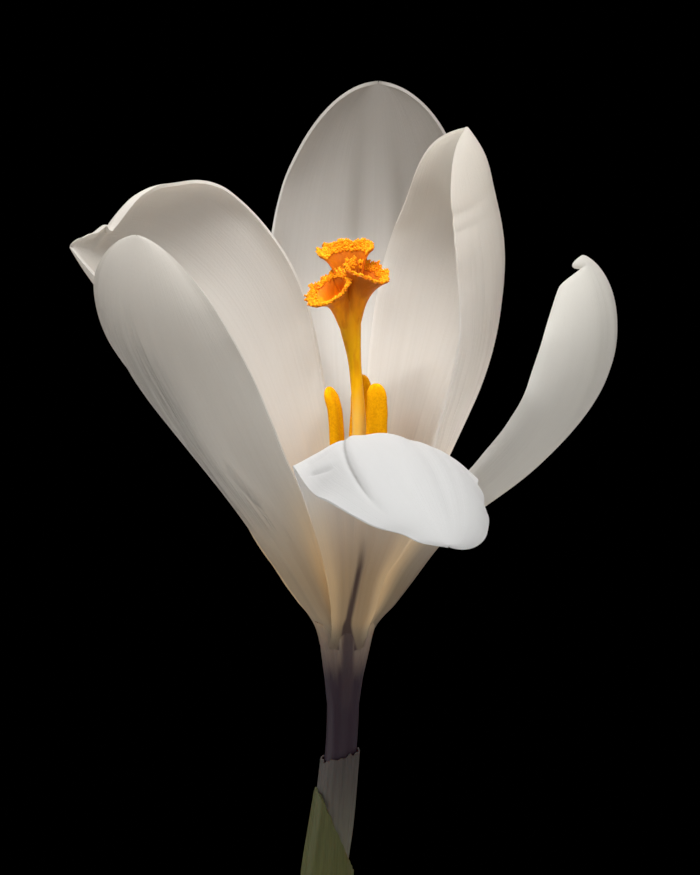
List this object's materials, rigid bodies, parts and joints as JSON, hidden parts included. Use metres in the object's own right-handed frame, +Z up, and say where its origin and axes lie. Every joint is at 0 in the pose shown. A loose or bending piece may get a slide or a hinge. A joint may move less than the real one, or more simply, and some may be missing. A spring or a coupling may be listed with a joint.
{
  "type": "potted crocus",
  "caption": "Single white spring crocus in flower, with narrow leaves, standing in soil in a small plain terracotta pot.",
  "frame": {"origin": "middle of the pot's underside, on the surface it stands on", "axes": "+Z up the flower, +X to the right and -Y to the front, towards the picture's viewer"},
  "size_m": [0.072, 0.072, 0.1592],
  "materials": {
    "terracotta": "matte unglazed",
    "soil": "crumbly moist",
    "corm": "fibrous dry",
    "petal": "satin",
    "tube": "satin",
    "papery_sheath": "matte",
    "green_sheath": "satin",
    "leaf": "satin",
    "stigma": "satin",
    "anther": "powdery matte"
  },
  "bodies": {
    "root": {"pot": "terracotta", "soil": "soil", "corm": "corm", "flower_tube": "tube", "papery_sheath": "papery_sheath", "green_sheath": "green_sheath", "basal_sheath": "papery_sheath", "leaf_1": "leaf", "leaf_2": "leaf", "leaf_3": "leaf", "leaf_4": "leaf", "leaf_5": "leaf", "leaf_6": "leaf", "leaf_7": "leaf", "bloom": "petal", "pistil": "stigma", "stamen_left": "anther", "stamen_right": "anther", "stamen_back": "anther"}
  },
  "joints": []
}
